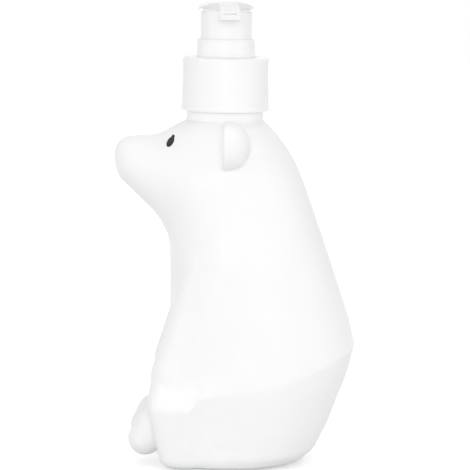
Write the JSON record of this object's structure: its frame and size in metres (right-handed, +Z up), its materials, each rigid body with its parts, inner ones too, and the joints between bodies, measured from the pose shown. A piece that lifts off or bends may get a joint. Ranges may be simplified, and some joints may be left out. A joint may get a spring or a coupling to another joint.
{
  "type": "bear shampoo dispenser",
  "caption": "Pump dispenser for shampoo shaped as a sitting bear, with a screw closure, a spring-loaded lotion pump, a swivelling head and a dip tube.",
  "frame": {"origin": "on the table, under the middle of the bounding box", "axes": "+Z up along the pump, -Y the way the bear looks, +X the way the nozzle points (the bear's left)"},
  "size_m": [0.0662, 0.095, 0.1799],
  "materials": {
    "bottle_plastic": "satin white",
    "pump_plastic": "satin white",
    "natural_plastic": "uncoloured, slightly cloudy",
    "eye_ink": "dark print",
    "liner": "foam",
    "steel": "drawn"
  },
  "bodies": {
    "bear_bottle": {"bottle": "bottle_plastic", "eye_print_left": "eye_ink", "eye_print_right": "eye_ink"},
    "pump_engine": {"lock_cup": "pump_plastic", "pump_housing": "natural_plastic", "gasket": "liner", "ball_cage": "natural_plastic", "dip_tube": "natural_plastic", "return_spring": "steel"},
    "collar": {"closure": "pump_plastic"},
    "plunger": {"stem": "natural_plastic", "stem_plug": "natural_plastic"},
    "head": {"actuator": "pump_plastic"},
    "seal": {"piston": "natural_plastic"},
    "inlet_ball": {"check_ball": "steel"}
  },
  "joints": [
    {"name": "pump_lift", "type": "slide", "parent": "bear_bottle", "child": "pump_engine", "axis": [0, 0, 1], "range_m": [0, 0.0053]},
    {"name": "closure_turn", "type": "hinge", "parent": "pump_engine", "child": "collar", "pos_m": [0, -0.0047, 0.147], "axis": [0, 0, 1], "range_deg": [0, 450]},
    {"name": "pump_stroke", "type": "slide", "parent": "pump_engine", "child": "plunger", "axis": [0, 0, -1], "range_m": [0, 0.0065], "stiffness_N_per_m": 450, "springref_m": -0.006, "deforming": ["return_spring"]},
    {"name": "head_swivel", "type": "hinge", "parent": "plunger", "child": "head", "pos_m": [0, -0.0047, 0.17], "axis": [0, 0, 1], "continuous": true},
    {"name": "piston_slide", "type": "slide", "parent": "plunger", "child": "seal", "axis": [0, 0, 1], "range_m": [0, 0.0016]},
    {"name": "ball_lift", "type": "slide", "parent": "pump_engine", "child": "inlet_ball", "axis": [0, 0, 1], "range_m": [0, 0.0012]}
  ],
  "couplings": [
    {"joint": "pump_lift", "follows": "closure_turn", "m_per_rad": 0.0006737}
  ]
}
